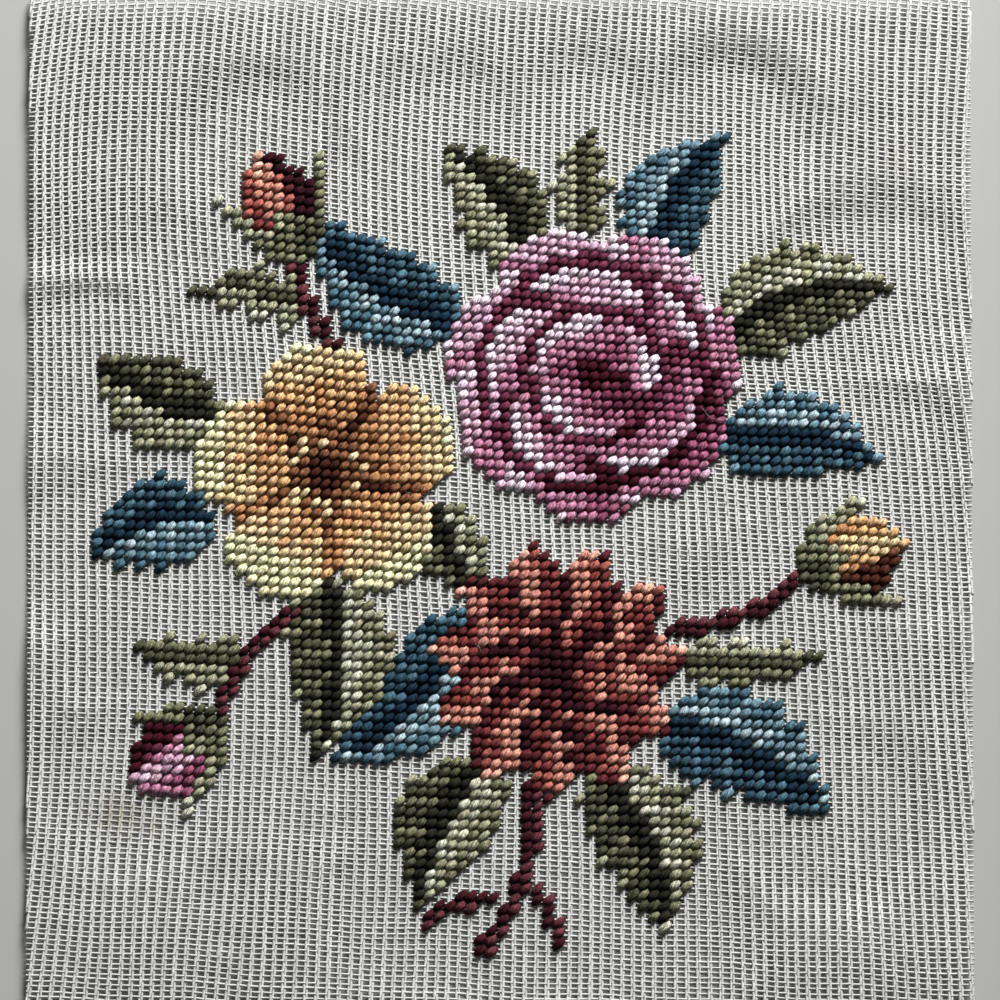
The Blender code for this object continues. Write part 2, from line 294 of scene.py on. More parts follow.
class StudioSettings(bpy.types.PropertyGroup):
    """The view and the light."""

    elevation: FloatProperty(
        name="Elevation", description="Angle of the view over the floor", default=math.radians(86.0),
        subtype="ANGLE", unit="ROTATION"
    )
    lens: FloatProperty(name="Lens", description="Focal length, mm", default=300.0, min=1.0)
    panel_share: FloatProperty(
        name="Panel share", description="Share of the picture's width that the panel fills", default=0.944
    )
    key_power: FloatProperty(name="Key light", description="Power of the soft light, W", default=95.0)
    fill_power: FloatProperty(name="Fill light", description="Power of the weak soft light, W", default=0.57)
    sky: FloatProperty(name="Sky", description="Strength of the even light from all round", default=0.06)
    floor: colour_property("Floor", "Colour of the floor", (0.65, 0.65, 0.645))


# Shades of a wool, the width of a drawn line in the chart, and how far the cells go beyond the panel
SHADES = 6
LINE_WIDTH = 2.6
SPARE_ACROSS = 16.0
SPARE_UP = 18.0
SPARE_ROWS = 9

# Sides of a strand's profile
FRONT_SIDES = 6
BACK_SIDES = 4
THREAD_SIDES = 5

# Where along a stitch its rings lie, how full the shoulders of its oval are, and how thick a strand on the
# back is at each of its rings
FRONT_RINGS = np.array((0.0, 0.12, 0.30, 0.50, 0.70, 0.88, 1.0))
BACK_RINGS = np.array((0.0, 0.25, 0.75, 1.0))
STITCH_FULLNESS = 0.6
BACK_WAVE = np.array((0.55, 1.0, 1.0, 0.55))

# Rise of a thread as a share of its height, the painted light and shade on it, and how slim it ends inside
# the next band
WARP_RISE = 0.60
WEFT_RISE = 0.42
# Painted light: warps painted lighter and wefts painted darker than the same cotton
WARP_PAINTED_LIGHT = 1.22
WEFT_PAINTED_SHADE = 0.95
# Painted highlight where a thread passes over, painted shade where it passes under
OVER_PAINTED_HIGHLIGHT = 1.05
UNDER_PAINTED_SHADE = 0.88
SLIM_END = 0.85

# Spreads of chance in a thread: its place, its girth, its girth at each crossing, its tone, its patches
THREAD_STRAY = 0.05
THREAD_SPREAD = 0.07
CROSSING_SPREAD = 0.06
TONE_SPREAD = 0.045
PATCH_SPREAD = 0.05

# Spreads of chance in a stitch: its ends in front and on the back, its size, its top, its colour
FRONT_STRAY = 0.11
BACK_STRAY = 0.10
PLUMP_SPREAD = 0.09
BACK_SPREAD = 0.08
TOP_SPREAD = 0.05
SHADE_SPREAD = 0.06
TINT_SPREAD = 0.02

# A stitch's ends lie this far under the middle of the canvas, and its top this share of its height over it
STITCH_DIVE = 0.35
STITCH_TOP_SHARE = 0.36

# The bake cell of a strand, in shares of the cell: where its length and its girth start and how far they go,
# and the middle and the reach of its caps. Then the offset from one strand to the next in the strand map.
CELL_START = 0.07
CELL_RUN = 0.86
CELL_FOOT = 0.08
CELL_RISE = 0.84
CAP_MIDDLE = 0.03
CAP_REACH = 0.02
CAP_RISE = 0.3
STRAND_OFFSET = 0.37

# Loose fibres: how many, rings in each, half of the field they lie in, their half width, height over the
# sheet, share that is pale, pale and dark tone
LINT_COUNT = 26
LINT_RINGS = 9
LINT_FIELD = (85.0, 75.0)
LINT_THIN = 0.055
LINT_ON_WOOL = 0.82
LINT_ON_CANVAS = 0.1
LINT_PALE_SHARE = 0.6
LINT_TONES = (0.78, 0.10)
LINT_COLOUR = np.array((1.0, 0.97, 0.93))

# Seeds of the random draws. A motif adds its own number to the last three
TONE_SEED = 11
WEFT_SEED = 31
WARP_SEED = 32
LINT_SEED = 77
COLOUR_SEED = 100
FRONT_SEED = 200
BACK_SEED = 300

# Lights, each a place and a size, and the floor, in metres
KEY_LIGHT = ((0.41, 1.60, 0.76), 0.65)
FILL_LIGHT = ((-0.9, -0.4, 0.8), 0.9)
SKY_COLOUR = (0.96, 0.98, 1.0)
FLOOR_REACH = 3.0


def linear(colour):
    """Display colour to scene-linear colour, by the usual power curve."""
    colour = np.asarray(colour, float)
    return np.where(colour <= 0.04045, colour / 12.92, ((colour + 0.055) / 1.055) ** 2.4)


def soft_step(value):
    """The logistic curve, from 0 to 1."""
    return 1.0 / (1.0 + np.exp(-value))


def soft_ramp(value):
    """The integral of the logistic curve: nought, then a soft knee, then a straight slope of one."""
    return np.logaddexp(0.0, value)


def ease_in(value):
    """Smooth step of a value held between 0 and 1."""
    value = np.clip(value, 0.0, 1.0)
    return value * value * (3.0 - 2.0 * value)


def ripple(x, y, seed, reach):
    """A smooth field from about -1 to 1: a third of the sum of six slanting sine waves about this long."""
    draw = np.random.default_rng(seed)
    total = np.zeros(np.broadcast(x, y).shape)
    for turn, phase, stretch in draw.random((6, 3)):
        angle = 2.0 * math.pi * turn
        wave = reach * (0.6 + 0.9 * stretch)
        run = (x * math.cos(angle) + y * math.sin(angle)) / wave
        total += np.sin(2.0 * math.pi * (run + phase))
    return total / 3.0


def turned(x, y, angle):
    """The same places in axes that are turned by an angle in radians."""
    return x * math.cos(angle) + y * math.sin(angle), y * math.cos(angle) - x * math.sin(angle)


def place(points, x, y, heading):
    """Turn local points by the heading in degrees and shift them to x, y."""
    across, up = turned(*np.asarray(points, float).T, -math.radians(heading))
    return np.stack([x + across, y + up], axis=1)


def bow_at(share, length, bend):
    """Sideways bow of a bent axis at a share of its length: a parabola, highest in the middle."""
    return bend * length * 4.0 * share * (1.0 - share)


def bloom_outline(kind, radius):
    """A circle with lobes: the radius drops by the notch depth between two neighbouring lobes."""
    lobes, depth, roundness = LOBES[kind]
    angle = 2.0 * math.pi * np.arange(lobes * LOBE_STEPS) / (lobes * LOBE_STEPS)
    reach = radius * (1.0 - depth * (1.0 - np.abs(np.cos(0.5 * lobes * angle)) ** roundness))
    return np.stack([reach * np.cos(angle), reach * np.sin(angle)], axis=1)


def both_margins(along, low, high, length):
    """A closed outline: a base at the start, the low margin, a tip at the length and the high margin."""
    lower = np.stack([along, low], axis=1)
    upper = np.stack([along, high], axis=1)[::-1]
    return np.concatenate([[(0.0, 0.0)], lower, [(length, 0.0)], upper])


def drop_width(share, skew, fullness):
    """Width of a leaf or a bud at a share of its length: sin(pi * share ** skew) ** fullness."""
    return np.sin(math.pi * np.clip(share, 0.0, 1.0) ** skew) ** fullness


def leaf_outline(kind, length, breadth, bend):
    """A bent lens whose margins are cut into teeth that point to the tip."""
    teeth, depth = TEETH[kind]
    tooth = np.repeat(np.arange(teeth), 2)
    share = (tooth + np.tile((NOTCH_SHARE, TOOTH_TIP_SHARE), teeth)) / teeth
    cut = np.tile((depth, 0.0), teeth)
    half = breadth * drop_width(share, LEAF_SKEW, LEAF_FULLNESS) * (1.0 - cut)
    bow = bow_at(share, length, bend)
    return both_margins(share * length, bow - half, bow + half, length)


def bud_outline(length, breadth):
    """A plump drop, round at its base and blunt at its tip."""
    share = np.arange(1, BUD_STEPS) / BUD_STEPS
    half = breadth * drop_width(share, BUD_SKEW, BUD_FULLNESS)
    return both_margins(share * length, -half, half, length)


def calyx_outline(length, breadth):
    """A cup with two side sepals and a short middle one, mirrored about its axis."""
    half = np.array(CALYX_HALF) * (length, breadth)
    mirrored = half[1:-1] * (1.0, -1.0)
    return np.concatenate([half[:1], mirrored, half[-1:], half[1:-1][::-1]])


def stem_outline(length, half_width, bend):
    """A bent strip of even width."""
    share = np.arange(STEM_STEPS + 1) / STEM_STEPS
    bow = bow_at(share, length, bend)
    lower = np.stack([share * length, bow - half_width], axis=1)
    upper = np.stack([share * length, bow + half_width], axis=1)[::-1]
    return np.concatenate([lower, upper])


def motif_outline(motif):
    """The motif's closed outline on the panel."""
    _, kind, x, y, size, heading, breadth, bend, _, _ = motif
    if kind in LOBES:
        points = bloom_outline(kind, size)
    elif kind in TEETH:
        points = leaf_outline(kind, size, breadth, bend)
    elif kind == "bud":
        points = bud_outline(size, breadth)
    elif kind == "calyx":
        points = calyx_outline(size, breadth)
    else:
        points = stem_outline(size, breadth, bend)
    return place(points, x, y, heading)


def inside(outline, x, y):
    """Whether each place lies in the outline: its edges are crossed an odd number of times to the right."""
    odd = np.zeros(x.shape, bool)
    for (ax, ay), (bx, by) in zip(outline, np.roll(outline, -1, axis=0)):
        if ay == by:
            continue
        level = (ay > y) != (by > y)
        odd ^= level & (x < ax + (bx - ax) * (y - ay) / (by - ay))
    return odd


def local_places(motif, x, y):
    """Places in the motif's own axes: along its heading from its base or centre, and to its left."""
    return turned(x - motif.x, y - motif.y, math.radians(motif.heading))


def distance_to_wool(x, y):
    """Distance from each place to the nearest motif, taken as a thick line from its base to its tip."""
    nearest = np.full(x.shape, np.inf)
    for motif in MOTIFS:
        reach, half = (0.0, motif.size) if motif.kind in LOBES else (motif.size, motif.breadth)
        along, left = local_places(motif, x, y)
        nearest = np.minimum(nearest, np.hypot(along - np.clip(along, 0.0, reach), left) - half)
    return nearest


def above_fold(x, y):
    """How far up the panel a place lies from the straight fold line."""
    return y - (FOLD_LEFT_Y + (FOLD_RIGHT_Y - FOLD_LEFT_Y) * (x / PANEL_WIDTH + 0.5))


def canvas_lift(x, y):
    """Height of the canvas over its worked part: a lifted margin, a fold trough and low swells."""
    ease = ease_in((distance_to_wool(x, y) - EASE_START) / EASE_REACH)
    off_fold = above_fold(x, y)
    reach = np.where(off_fold > 0.0, FOLD_REACH_ABOVE, FOLD_REACH_BELOW)
    lift = BARE_LIFT - FOLD_DEPTH * np.exp(-((off_fold / reach) ** 2))
    for centre_x, centre_y, reach_x, reach_y, height in SWELLS:
        off = ((x - centre_x) / reach_x) ** 2 + ((y - centre_y) / reach_y) ** 2
        lift = lift + height * np.exp(-off)
    return ease * np.maximum(0.0, lift)


def fold_crest(x, y):
    """A narrow crest just below the fold line, on the bare canvas: a bell across the fold."""
    ease = ease_in((distance_to_wool(x, y) - 1.0) / 7.0)
    off_fold = above_fold(x, y)
    return CREST_HEIGHT * ease * np.exp(-(((off_fold + CREST_BELOW) / CREST_REACH) ** 2))


def mix_sides(pair, u):
    """Tangent of a lean that goes evenly from the left edge, u = -1, to the right edge, u = 1."""
    left, right = np.tan(np.radians(pair))
    return left + (right - left) * 0.5 * (u + 1.0)


def lie_of_canvas(cells_x, cells_y, canvas):
    """Where the weave really lies: even cells, shifted as the threads lean and crowd.

    A warp thread leans evenly in the middle and turns to another lean above and below two soft knees, so its
    shift is a straight slope and two soft ramps. A weft thread slopes evenly, with soft steps near the top,
    and the rows crowd together towards the top by a square.
    """
    x = cells_x * canvas.pitch_across
    y = cells_y * canvas.pitch_up
    u = x / (0.5 * PANEL_WIDTH)
    v = y / (0.5 * PANEL_HEIGHT)
    middle = mix_sides(WARP_LEAN_MIDDLE, u)
    knee = WARP_KNEE_SOFTNESS
    above = knee * soft_ramp((v - WARP_KNEE_TOP) / knee)
    below = knee * soft_ramp((-v - WARP_KNEE_BOTTOM) / knee)
    lean = middle * v + (mix_sides(WARP_LEAN_TOP, u) - middle) * above
    lean = lean - (mix_sides(WARP_LEAN_BOTTOM, u) - middle) * below
    squeeze = WARP_SQUEEZE * np.tanh((u + 1.0) / 0.16) * soft_step((v - 0.28) / 0.08)
    slope = math.tan(math.radians(WEFT_SLOPE)) * u
    top = math.tan(math.radians(WEFT_SLOPE_TOP)) * u - 0.03
    for angle, centre, reach in WEFT_BUMPS:
        top = top + math.tan(math.radians(angle)) * reach * np.tanh((u - centre) / reach)
    slope = slope + top * soft_step((v - WEFT_TOP_FROM) / WEFT_TOP_SOFTNESS)
    crowding = WEFT_CROWDING * (v * v - 1.0 / 3.0)
    shift_x = 0.5 * PANEL_HEIGHT * lean - squeeze + 0.35 * ripple(x, y, 3, 34.0)
    shift_y = 0.5 * PANEL_WIDTH * slope - 0.5 * PANEL_HEIGHT * crowding + 0.30 * ripple(x, y, 4, 30.0)
    return x + shift_x, y + shift_y


def ring_of_petals(along, left, petals, first):
    """The places in each petal's own axes, out from the centre and to its left, petal by petal."""
    for petal in range(petals):
        yield turned(along, left, 2.0 * math.pi * (petal + first) / petals)


def off_axis(motif, along, left):
    """How far to the left of the motif's bent axis a place lies."""
    return left - bow_at(along / motif.size, motif.size, motif.bend)


def shade_leaf(motif, along, left):
    """A leaf in two halves, pale on the left of its midrib and dark on the right, with slanting veins."""
    share = along / motif.size
    off = off_axis(motif, along, left)
    half = motif.breadth * drop_width(share, LEAF_SKEW, LEAF_FULLNESS)
    reach = np.abs(off) / np.maximum(half, 1e-6)
    vein = (share * 6.0 - 0.9 * np.abs(off) / motif.breadth) % 1.0
    pale = 0.4 + 2.3 * reach + 0.9 * (vein < 0.45)
    dark = 5.0 - 1.5 * reach - 1.2 * ((vein < 0.40) & (reach > 0.25))
    shade = np.where(off > 0.0, pale, dark)
    rib = (np.abs(off) < 1.25) & (share < 0.93)
    return np.where(rib, 4.6, shade)


def shade_sprig(motif, along, left):
    """A sprig: mid green with a dark rib and paler tips."""
    off = off_axis(motif, along, left)
    shade = np.where(off > 0.0, 2.2, 3.3) - 1.0 * (np.abs(off) > 0.6 * motif.breadth)
    return np.where(np.abs(off) < 1.2, 4.3, shade)


def shade_bud(motif, along, left):
    """A bud of three folded petals: a pale one in front, and darker ones at its sides and base."""
    share = np.clip(along / motif.size, 0.0, 1.0)
    half = motif.breadth * drop_width(share, BUD_SKEW, BUD_FULLNESS)
    off = left / np.maximum(half, 1e-6)
    shade = 2.4 - 2.2 * np.cos((off - 0.25) * 2.2) + 2.0 * (off < -0.35)
    return shade + 1.4 * (np.abs(off - 0.58) < 0.13) + 1.2 * (1.0 - share)


def shade_calyx(motif, along, left):
    """A calyx: paler on its left side, dark in the cup, with light tips."""
    shade = np.where(left > 0.0, 1.9, 3.4) + 0.8 * (along < 0.18 * motif.size)
    return shade - 0.9 * (along > 0.62 * motif.size)


def shade_stem(motif, along, left):
    """A stem: lighter along its upper side."""
    off = off_axis(motif, along, left)
    return np.where(off > 0.0, 0.9, 2.6)


def shade_camellia(motif, along, left):
    """Rings of round petals, laid from the outside in: pale rims, dark feet, a dark line under each rim."""
    along = along / motif.size
    left = left / motif.size
    line = LINE_WIDTH / motif.size
    wide, high = turned(along, left, -math.radians(motif.heading))
    light = 0.8 * high - 0.5 * wide
    shade = np.full(along.shape, 3.0)
    for ring, (centre, radius, petals, first) in enumerate(CAMELLIA_RINGS):
        for out, side in ring_of_petals(along, left, petals, first):
            out = out - centre
            reach = np.hypot(out, side / 1.25)
            if ring > 0:
                under = (reach >= radius) & (reach < radius + line) & (out > -0.3 * radius)
                shade = np.where(under, 4.3 - 0.5 * light, shade)
            foot = np.clip(0.5 - 0.5 * out / radius, 0.0, 1.0)
            tint = 1.3 + 3.2 * foot ** 1.2 - 1.0 * light + 1.2 * side / radius
            rim = (reach > radius - 1.2 * line) & (out > 0.1 * radius)
            shade = np.where(reach < radius, np.where(rim, tint - 1.3, tint), shade)
    return np.where(np.hypot(along, left) < 0.11, 5.0, shade)


def shade_blossom(motif, along, left):
    """Five broad petals, pale at the rim and dark at the foot, round a ring of stamens and a dark eye."""
    reach = np.hypot(along, left) / motif.size
    angle = np.arctan2(left, along)
    part = angle * 5.0 / (2.0 * math.pi)
    off = 2.0 * (part - np.round(part))
    shade = 0.2 + 3.6 * (1.0 - np.clip(reach / 0.95, 0.0, 1.0)) ** 1.1 + 0.8 * off * off
    shade = shade + 1.5 * (np.abs(off) > 0.86) + 0.9 * ((np.abs(off) < 0.10) & (reach < 0.68))
    shade = shade + 0.8 * ((np.abs(np.abs(off) - 0.42) < 0.09) & (reach < 0.55))
    shade = shade - 0.7 * np.sin(angle - 0.9) - 0.3 * (reach > 0.88)
    shade = np.where(reach < 0.30, 4.3, shade)
    stamens = (reach > 0.19) & (reach < 0.31) & (np.cos(angle * 12.0) > 0.2)
    shade = np.where(stamens, 0.6, shade)
    return np.where(reach < 0.14, 5.0, shade)


def shade_dahlia(motif, along, left):
    """Rings of pointed petals, laid from the outside in: one side of each pale, its foot and edges dark."""
    along = along / motif.size
    left = left / motif.size
    line = LINE_WIDTH / motif.size
    shade = np.full(along.shape, 4.5)
    for ring, (tip, petals, first, half_width) in enumerate(DAHLIA_RINGS):
        for out, side in ring_of_petals(along, left, petals, first):
            share = np.clip(out / tip, 0.0, 1.0)
            half = half_width * np.sin(math.pi * share ** 1.25) ** 0.8
            on = (out > 0.0) & (out < tip) & (np.abs(side) < half)
            tint = np.where(side > 0.0, 0.3, 2.1) + 2.8 * (1.0 - share) ** 1.2 + 0.2 * ring
            shade = np.where(on, tint + 1.6 * (side < line - half), shade)
    return np.where(np.hypot(along, left) < 0.13, 5.0, shade)


SHADING = {
    "camellia": shade_camellia,
    "blossom": shade_blossom,
    "dahlia": shade_dahlia,
    "bud": shade_bud,
    "calyx": shade_calyx,
    "leaf": shade_leaf,
    "sprig": shade_sprig,
    "stem": shade_stem,
}


def chart(canvas):
    """The worked chart: the cells' numbers, where each lies, its motif or -1, and its shade of wool."""
    across = math.ceil((0.5 * PANEL_WIDTH + SPARE_ACROSS) / canvas.pitch_across)
    up = math.ceil((0.5 * PANEL_HEIGHT + SPARE_UP) / canvas.pitch_up)
    column, row = np.meshgrid(np.arange(-across, across + 1), np.arange(-up, up + 1))
    x, y = lie_of_canvas(column, row, canvas)
    owner = np.full(x.shape, -1)
    shade = np.zeros(x.shape)
    ranks = sorted(range(len(MOTIFS)), key=lambda rank: (MOTIFS[rank].layer, -rank))
    for rank in ranks:
        motif = MOTIFS[rank]
        on = inside(motif_outline(motif), x, y)
        along, left = local_places(motif, x, y)
        owner = np.where(on, rank, owner)
        shade = np.where(on, SHADING[motif.kind](motif, along, left), shade)
    shade = np.clip(np.round(shade), 0, SHADES - 1).astype(int)
    return {"column": column, "row": row, "x": x, "y": y, "owner": owner, "shade": shade}


def wool_ramp(wool, settings):
    """The shades of a wool, mixed from its palest, middle and darkest colours, in linear light."""
    keys = [getattr(settings, f"{wool}_{tone}") for tone in TONES]
    steps = np.linspace(0.0, 2.0, SHADES)
    mixed = [np.interp(steps, (0.0, 1.0, 2.0), [key[channel] for key in keys]) for channel in range(3)]
    return linear(np.stack(mixed, axis=1))


def unit(vectors):
    """Vectors scaled to a length of one."""
    return vectors / np.maximum(np.linalg.norm(vectors, axis=-1, keepdims=True), 1e-12)


def joined_strands(strand):
    """Whether each ring is joined to the next: both belong to one strand."""
    return np.append(strand[1:] == strand[:-1], False)


def sweep(path, strand, half_width, half_height, sides, colour, fullness=1.0):
    """Rings of an oval profile at every point of the paths, in millimetres.

    At a point the path runs along t. The profile's width lies along s = t x up, its height along n = s x t.
    Corner k of the ring is path + half_width * p * s - half_height * q * n, where p and q are the sine and
    cosine of a = 2 pi (k + 1/2) / sides. With a fullness under one, their sizes are raised to that power and
    the oval has fuller shoulders. Its last side is underneath. Neighbouring rings of one strand are joined
    and its ends are capped.
    """
    joined = joined_strands(strand)
    before = np.append(False, joined[:-1])
    ahead = np.where(joined[:, None], np.roll(path, -1, axis=0), path)
    behind = np.where(before[:, None], np.roll(path, 1, axis=0), path)
    tangent = unit(ahead - behind)
    side = unit(np.cross(tangent, (0.0, 0.0, 1.0)))
    normal = np.cross(side, tangent)
    angle = 2.0 * math.pi * (np.arange(sides) + 0.5) / sides
    p = np.sign(np.sin(angle)) * np.abs(np.sin(angle)) ** fullness
    q = np.sign(np.cos(angle)) * np.abs(np.cos(angle)) ** fullness
    wide = (half_width[:, None] * p)[..., None] * side[:, None, :]
    tall = (half_height[:, None] * q)[..., None] * normal[:, None, :]
    corners = path[:, None, :] + wide - tall
    step = np.where(before, np.linalg.norm(path - behind, axis=1), 0.0)
    run = np.cumsum(step)
    start = np.maximum.accumulate(np.where(before, 0, np.arange(len(path))))
    return {
        "corners": corners,
        "strand": strand,
        "joined": joined,
        "before": before,
        "along": run - run[start],
        "sides": sides,
        "colour": colour,
    }


def strand_faces(part, first_corner, first_cell, columns, rows):
    """Faces of a set of strands, and for each face corner its place on two maps.

    The bake map gives each strand a cell of a grid, its length across the cell, its girth up it and its caps
    at the sides. The strand map runs along in centimetres and once round from 0 to 1.
    """
    sides = part["sides"]
    ring = np.flatnonzero(part["joined"])
    heads = np.flatnonzero(~part["before"])
    tails = np.flatnonzero(~part["joined"])
    caps = np.concatenate([heads, tails])
    number = np.cumsum(~part["before"]) - 1
    share = part["along"] / np.maximum(part["along"][tails][number], 1e-9)
    centimetres = 0.1 * part["along"] + STRAND_OFFSET * number
    k = np.arange(sides)

    def in_cell(rings, u, v):
        """Places in the bake cells of these rings."""
        cell = first_cell + number[rings]
        across = (cell % columns + u) / columns
        return np.stack([across, (cell // columns + v) / rows], axis=-1).reshape(-1, 2)

    near = first_corner + ring[:, None] * sides + k
    near_next = first_corner + ring[:, None] * sides + (k + 1) % sides
    quads = np.stack([near, near_next, near_next + sides, near + sides], axis=-1)
    both = np.stack([ring, ring, ring + 1, ring + 1], axis=-1)[:, None, :]
    both = np.broadcast_to(both, quads.shape)
    girth = np.broadcast_to(np.stack([k, k + 1, k + 1, k], axis=-1) / sides, quads.shape)
    bake = in_cell(both, CELL_START + CELL_RUN * share[both], CELL_FOOT + CELL_RISE * girth)
    along = np.stack([centimetres[both], girth], axis=-1).reshape(-1, 2)
    cap_faces = first_corner + caps[:, None] * sides + np.repeat([k[::-1], k], len(heads), axis=0)
    centre = np.repeat((CAP_MIDDLE, 1.0 - CAP_MIDDLE), len(heads))[:, None]
    turn = 2.0 * math.pi * k / sides
    cap_bake = in_cell(caps[:, None], centre + CAP_REACH * np.cos(turn), 0.5 + CAP_RISE * np.sin(turn))
    cap_along = np.stack([np.repeat(centimetres[caps], sides), np.tile(k / sides, len(caps))], axis=-1)
    counts = (quads.size // 4, len(caps))
    return (
        np.concatenate([quads.ravel(), cap_faces.ravel()]),
        np.repeat((4, sides), counts),
        np.repeat((True, False), counts),
        np.concatenate([bake, cap_bake]),
        np.concatenate([along, cap_along]),
    )


def strand_mesh(name, parts, columns):
    """One mesh of several sets of strands, with its two maps and its colour, in metres."""
    strands = [np.count_nonzero(~part["before"]) for part in parts]
    rows = math.ceil(sum(strands) / columns)
    made = []
    first_corner = 0
    first_cell = 0
    for part, count in zip(parts, strands):
        corners = part["corners"].reshape(-1, 3) * MM
        colours = np.repeat(part["colour"], part["sides"], axis=0)
        made.append((corners, colours, *strand_faces(part, first_corner, first_cell, columns, rows)))
        first_corner += len(corners)
        first_cell += count
    corners, colours, faces, totals, rounded, bake, along = (np.concatenate(group) for group in zip(*made))
    mesh = bpy.data.meshes.new(name)
    mesh.vertices.add(len(corners))
    mesh.vertices.foreach_set("co", corners.ravel())
    mesh.loops.add(len(faces))
    mesh.loops.foreach_set("vertex_index", faces)
    mesh.polygons.add(len(totals))
    mesh.polygons.foreach_set("loop_start", np.cumsum(totals) - totals)
    mesh.update(calc_edges=True)
    for map_name, places in (("OFBake", bake), ("strand", along)):
        layer = mesh.uv_layers.new(name=map_name)
        layer.data.foreach_set("uv", places.ravel())
        layer.active_render = map_name == "strand"
    tint = mesh.attributes.new("tint", "FLOAT_COLOR", "POINT")
    tint.data.foreach_set("color", np.insert(colours, 3, 1.0, axis=1).ravel())
    mesh.polygons.foreach_set("use_smooth", rounded)
    mesh.validate()
    return mesh


def add_object(name, data):
    """An object of the data, linked to the scene."""
    thing = bpy.data.objects.new(name, data)
    bpy.context.scene.collection.objects.link(thing)
    return thing


def show_piece(name, mesh, material):
    """An object of the mesh at the origin, riding on the body and finished with the given material."""
    mesh.materials.append(material)
    piece = add_object(name, mesh)
    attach(piece, BODY)
    return piece


def add_node(tree, kind, inputs=None, **settings):
    """A node of this kind with its settings. Each input, by name or number, takes a value or a link."""
    node = tree.nodes.new(kind)
    for name, value in settings.items():
        setattr(node, name, value)
    for key, value in (inputs or {}).items():
        if isinstance(value, bpy.types.NodeSocket):
            tree.links.new(value, node.inputs[key])
        else:
            node.inputs[key].default_value = value
    return node


def strand_pattern(tree, turns, along_scale, round_scale, detail):
    """Noise drawn out along a strand and wound round it: the fibres of a spun yarn."""
    places = add_node(tree, "ShaderNodeUVMap", uv_map="strand")
    split = add_node(tree, "ShaderNodeSeparateXYZ", {0: places.outputs[0]})
    along, girth, _ = split.outputs
    wound = add_node(tree, "ShaderNodeMath", {0: along, 1: turns, 2: girth}, operation="MULTIPLY_ADD")
    joined = add_node(tree, "ShaderNodeCombineXYZ", {"X": along, "Y": wound.outputs[0]})
    scale = (along_scale, round_scale, 1.0)
    stretch = add_node(tree, "ShaderNodeMapping", {"Vector": joined.outputs[0], "Scale": scale})
    settings = {"Vector": stretch.outputs[0], "Scale": 1.0, "Detail": detail, "Roughness": 0.6}
    return add_node(tree, "ShaderNodeTexNoise", settings).outputs["Fac"]


def remap(tree, value, low, high, from_low=0.25, from_high=0.75):
    """A value stretched from one range to another and held inside it."""
    inputs = {"Value": value, "From Min": from_low, "From Max": from_high, "To Min": low, "To Max": high}
    return add_node(tree, "ShaderNodeMapRange", inputs).outputs["Result"]


def multiply(tree, first, second):
    """The product of two values."""
    return add_node(tree, "ShaderNodeMath", {0: first, 1: second}, operation="MULTIPLY").outputs[0]


def object_noise(tree, scale, detail):
    """Noise over the whole panel, by place."""
    places = add_node(tree, "ShaderNodeTexCoord").outputs["Object"]
    settings = {"Vector": places, "Scale": scale, "Detail": detail}
    return add_node(tree, "ShaderNodeTexNoise", settings).outputs["Fac"]


def yarn_material(name, roughness, sheen):
    """A Principled material whose base is the colour that each strand carries, with its shader."""
    material = bpy.data.materials.new(name)
    material.use_nodes = True
    shader = material.node_tree.nodes["Principled BSDF"]
    shader.inputs["Roughness"].default_value = roughness
    shader.inputs["Specular IOR Level"].default_value = 0.12
    shader.inputs["Sheen Weight"].default_value = sheen
    shader.inputs["Sheen Roughness"].default_value = 0.6
    return material, material.node_tree, shader


def dress(tree, shader, shade, relief, distance, strength):
    """The strands' own colour made lighter and darker by the shade, and a bump from the relief."""
    tint = add_node(tree, "ShaderNodeAttribute", attribute_name="tint").outputs["Color"]
    colour = add_node(tree, "ShaderNodeVectorMath", {0: tint, "Scale": shade}, operation="SCALE")
    bump = add_node(tree, "ShaderNodeBump", {"Strength": strength, "Distance": distance, "Height": relief})
    tree.links.new(colour.outputs["Vector"], shader.inputs["Base Color"])
    tree.links.new(bump.outputs["Normal"], shader.inputs["Normal"])


def wool_material(name):
    """Tapestry wool: soft, matt, heathered, with fine fibres that wind slowly round the strand."""
    material, tree, shader = yarn_material(name, 0.95, 0.0)
    fibres = strand_pattern(tree, -0.6, 5.0, 20.0, 2.0)
    fine = strand_pattern(tree, -0.9, 18.0, 46.0, 2.0)
    heather = remap(tree, object_noise(tree, 1100.0, 2.0), 0.76, 1.24, 0.35, 0.65)
    shade = multiply(tree, remap(tree, fibres, 0.38, 1.62, 0.36, 0.64), heather)
    fuzz = remap(tree, fine, 0.5, 1.0, 0.35, 0.65)
    relief = multiply(tree, remap(tree, fibres, 0.2, 1.0, 0.35, 0.65), fuzz)
    dress(tree, shader, shade, relief, 0.0005, 1.0)
    return material


def cotton_material(name):
    """Sized cotton: a hard twist of fine plies, a little uneven and dusty."""
    material, tree, shader = yarn_material(name, 0.85, 0.05)
    plies = strand_pattern(tree, 9.0, 3.0, 5.0, 1.0)
    fine = strand_pattern(tree, 12.0, 10.0, 16.0, 2.0)
    dust = object_noise(tree, 90.0, 4.0)
    shade = multiply(tree, remap(tree, plies, 0.90, 1.06), remap(tree, dust, 0.94, 1.04))
    relief = multiply(tree, remap(tree, plies, 0.3, 1.0), remap(tree, fine, 0.7, 1.0))
    dress(tree, shader, shade, relief, 0.00008, 0.6)
    return material


def grown(mask):
    """The mask and the eight neighbours of each of its cells."""
    wide = mask.copy()
    wide[:, 1:] |= mask[:, :-1]
    wide[:, :-1] |= mask[:, 1:]
    tall = wide.copy()
    tall[1:] |= wide[:-1]
    tall[:-1] |= wide[1:]
    return tall


def crossings(count, pairing, pitch):
    """Places of paired threads in cells: each pair lies about a whole number."""
    whole = np.repeat(np.arange(-count, count + 1), 2)
    side = np.tile((-0.5, 0.5), 2 * count + 1)
    return whole, whole + side * pairing / pitch


